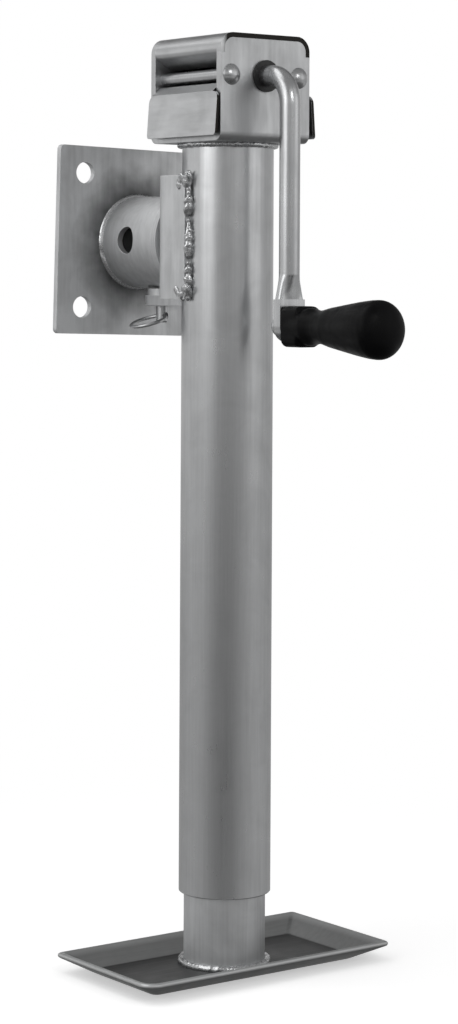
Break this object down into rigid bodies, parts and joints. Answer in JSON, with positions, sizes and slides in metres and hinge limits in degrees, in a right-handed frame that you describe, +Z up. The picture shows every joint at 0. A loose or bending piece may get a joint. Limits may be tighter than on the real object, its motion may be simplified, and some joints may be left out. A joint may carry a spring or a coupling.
{
  "type": "side-wind swivel jack stand",
  "caption": "Trailer prop stand: a side crank turns a bevel pair and a screw that push a tube and pressed foot out of a fixed tube, on a square plate with a locking swivel.",
  "frame": {"origin": "underside of the foot, on the axis of the tubes", "axes": "+Z up along the tubes, +Y towards the square mounting plate, -Y towards the crank, +X to the right seen from the crank's side"},
  "size_m": [0.1844, 0.259, 0.5786],
  "materials": {
    "tube_zinc": "bright zinc on drawn tube, satin",
    "plate_zinc": "bright zinc on pressed plate, satin",
    "foot_steel": "dark zinc on pressed plate, satin",
    "weld_bead": "zinc over rippled weld metal",
    "bright_rod": "bright zinc on drawn bar",
    "machine_steel": "oiled machined steel",
    "bearing_steel": "ground and polished",
    "black_bushing": "oil-filled bushing, black",
    "grip_plastic": "moulded, satin black"
  },
  "bodies": {
    "jack": {"outer_tube": "tube_zinc", "gear_housing": "plate_zinc", "top_cover": "plate_zinc", "left_skirt": "plate_zinc", "right_skirt": "plate_zinc", "spacer_rods": "bright_rod", "front_bushing": "black_bushing", "back_bushing": "black_bushing", "screw_bushing": "black_bushing", "bearing_top_race": "bearing_steel", "bearing_balls": "bearing_steel", "bearing_cage": "bearing_steel", "tube_weld": "weld_bead", "swivel_bracket": "plate_zinc", "bracket_welds": "weld_bead", "pivot_hub": "plate_zinc", "thrust_washer": "bright_rod", "retaining_ring": "machine_steel", "lock_lug": "plate_zinc", "lock_barrel": "plate_zinc", "lock_spring": "bearing_steel"},
    "crank": {"crank_handle": "bright_rod", "pinion": "machine_steel", "pinion_pin": "machine_steel", "shaft_washer": "bright_rod", "shaft_clip": "machine_steel", "grip_pin": "bright_rod"},
    "grip": {"grip": "grip_plastic"},
    "screw": {"lead_screw": "machine_steel", "screw_gear": "machine_steel", "gear_pin": "machine_steel", "bearing_bottom_race": "bearing_steel"},
    "leg": {"inner_tube": "tube_zinc", "drive_nut": "machine_steel", "foot_plate": "foot_steel", "foot_weld": "weld_bead"},
    "mount": {"mount_plate": "plate_zinc", "pivot_drum": "plate_zinc", "drum_weld": "weld_bead"},
    "lock": {"lock_pin": "bright_rod"},
    "ring": {"pull_ring": "bright_rod"}
  },
  "joints": [
    {"name": "crank_turn", "type": "hinge", "parent": "jack", "child": "crank", "pos_m": [0, 0, 0.553], "axis": [0, 1, 0], "range_deg": [0, 41148]},
    {"name": "screw_turn", "type": "hinge", "parent": "jack", "child": "screw", "pos_m": [0, 0, 0.5], "axis": [0, 0, 1], "range_deg": [0, 27432]},
    {"name": "leg_extend", "type": "slide", "parent": "jack", "child": "leg", "axis": [0, 0, -1], "range_m": [0, 0.381]},
    {"name": "grip_spin", "type": "hinge", "parent": "crank", "child": "grip", "pos_m": [0, -0.1, 0.4002], "axis": [0, 1, 0], "continuous": true},
    {"name": "mount_swivel", "type": "hinge", "parent": "jack", "child": "mount", "pos_m": [0, 0.07, 0.4524], "axis": [0, 1, 0], "continuous": true},
    {"name": "lock_slide", "type": "slide", "parent": "jack", "child": "lock", "axis": [0, 0, 1], "range_m": [0, 0.0048], "deforming": ["lock_spring"]},
    {"name": "ring_swing", "type": "hinge", "parent": "lock", "child": "ring", "pos_m": [0, 0.07, 0.40485], "axis": [0, -1, 0], "range_deg": [0, 72]}
  ],
  "couplings": [
    {"joint": "screw_turn", "follows": "crank_turn", "ratio": 0.66667},
    {"joint": "leg_extend", "follows": "crank_turn", "m_per_rad": 0.00053052}
  ]
}
